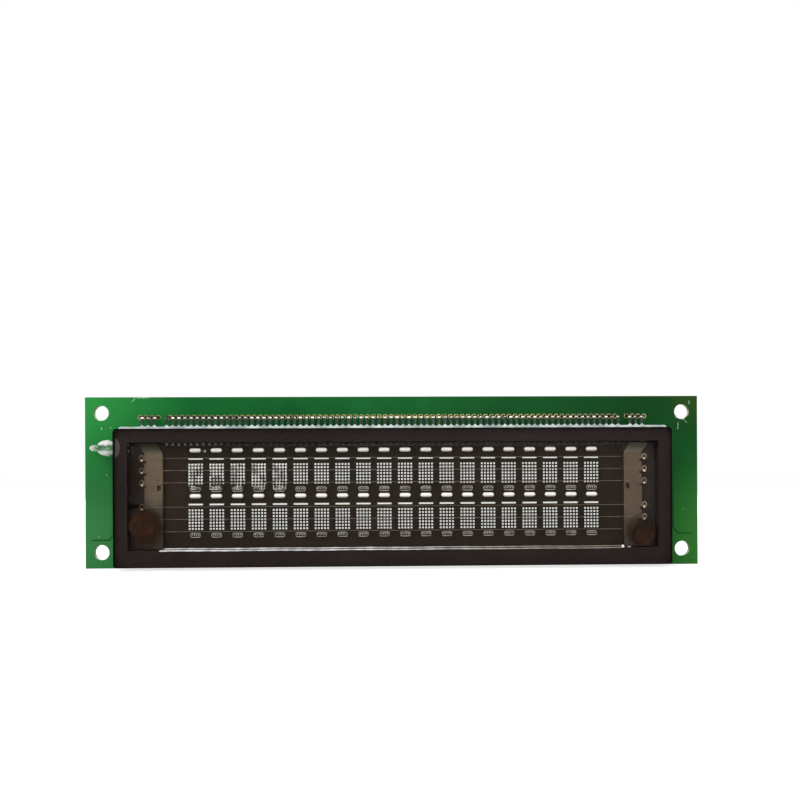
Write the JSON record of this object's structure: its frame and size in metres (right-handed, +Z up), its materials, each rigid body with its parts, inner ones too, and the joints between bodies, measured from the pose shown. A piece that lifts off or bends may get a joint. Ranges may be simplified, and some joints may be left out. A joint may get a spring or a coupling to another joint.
{
  "type": "vacuum fluorescent display module",
  "caption": "Dot-matrix vacuum fluorescent display: sealed glass tube with a row of bent leads on a green circuit board, drive electronics on its back and mounting holes at the corners.",
  "frame": {"origin": "middle of the four mounting holes, on the front face of the circuit board", "axes": "+X to the right seen from the front, +Y from the glass towards the component side, +Z up towards the lead row"},
  "size_m": [0.155, 0.0183, 0.043],
  "materials": {
    "solder_mask": "green solder mask, satin gloss",
    "bare_copper": "gold-coloured bare copper lands",
    "solder": "bright tin solder",
    "foam": "white foam tape",
    "base_glass": "glass plate, dark behind its print",
    "black_print": "matt black insulating print",
    "wall_glass": "glass spacer walls",
    "cover_glass": "polished clear front glass",
    "white_frit": "white sealing frit",
    "dark_frit": "dark sealing frit",
    "tip_glass": "fused clear glass",
    "lead_alloy": "dull tinned lead alloy",
    "contact_paste": "grey conductive paste",
    "phosphor": "off-white phosphor",
    "white_paste": "cream-white bonding paste",
    "grid_steel": "fine etched steel mesh",
    "filament_wire": "coated filament wire",
    "support_metal": "folded nickel-iron sheet, tan",
    "getter_metal": "brown getter pan",
    "header_plastic": "dark maroon moulding",
    "header_contact": "plated contacts",
    "package_plastic": "charcoal moulding compound",
    "tinned_leads": "tinned lead frame",
    "can_aluminium": "drawn aluminium can",
    "base_plastic": "dark moulded base",
    "regulator_plastic": "brown-black moulding compound",
    "ferrite": "grey sintered ferrite",
    "bobbin_plastic": "dark phenolic bobbin",
    "enamelled_copper": "enamelled copper wire",
    "chip_ceramic": "tan capacitor ceramic",
    "resistor_film": "black resistor coating",
    "resonator_ceramic": "brown resonator ceramic",
    "amber_film": "amber polyimide tape",
    "label_paper": "blank white paper"
  },
  "bodies": {
    "root": {"circuit_board": "solder_mask", "copper_lands": "bare_copper", "solder_joints": "solder", "foam_tape": "foam", "base_plate": "base_glass", "printed_layer": "black_print", "spacer_walls": "wall_glass", "cover_glass": "cover_glass", "rear_frit_seal": "white_frit", "front_frit_seal": "dark_frit", "exhaust_tip": "tip_glass", "lead_pins": "lead_alloy", "filament_pins": "lead_alloy", "lead_contacts": "contact_paste", "grid_feet": "contact_paste", "upper_dots": "phosphor", "lower_dots": "phosphor", "cursor_bars": "phosphor", "grid_bonds": "white_paste", "control_grids": "grid_steel", "filaments": "filament_wire", "left_support": "support_metal", "right_support": "support_metal", "filament_springs": "support_metal", "left_getter": "getter_metal", "right_getter": "getter_metal", "header_body": "header_plastic", "header_contacts": "header_contact", "controller_body": "package_plastic", "left_driver_body": "package_plastic", "right_driver_body": "package_plastic", "buffer_body": "package_plastic", "gate_bodies": "package_plastic", "reset_body": "package_plastic", "transistor_bodies": "package_plastic", "tantalum_body": "package_plastic", "controller_leads": "tinned_leads", "left_driver_leads": "tinned_leads", "right_driver_leads": "tinned_leads", "buffer_leads": "tinned_leads", "gate_leads": "tinned_leads", "capacitor_tabs": "tinned_leads", "regulator_tab": "tinned_leads", "transformer_pins": "tinned_leads", "reset_leads": "tinned_leads", "transistor_leads": "tinned_leads", "tantalum_terminals": "tinned_leads", "chip_end_caps": "tinned_leads", "capacitor_cans": "can_aluminium", "capacitor_bases": "base_plastic", "regulator_body": "regulator_plastic", "transformer_core": "ferrite", "transformer_bobbin": "bobbin_plastic", "transformer_winding": "enamelled_copper", "chip_capacitors": "chip_ceramic", "chip_resistors": "resistor_film", "resistor_arrays": "resistor_film", "resonator": "resonator_ceramic", "amber_tape": "amber_film", "paper_label": "label_paper"}
  },
  "joints": []
}
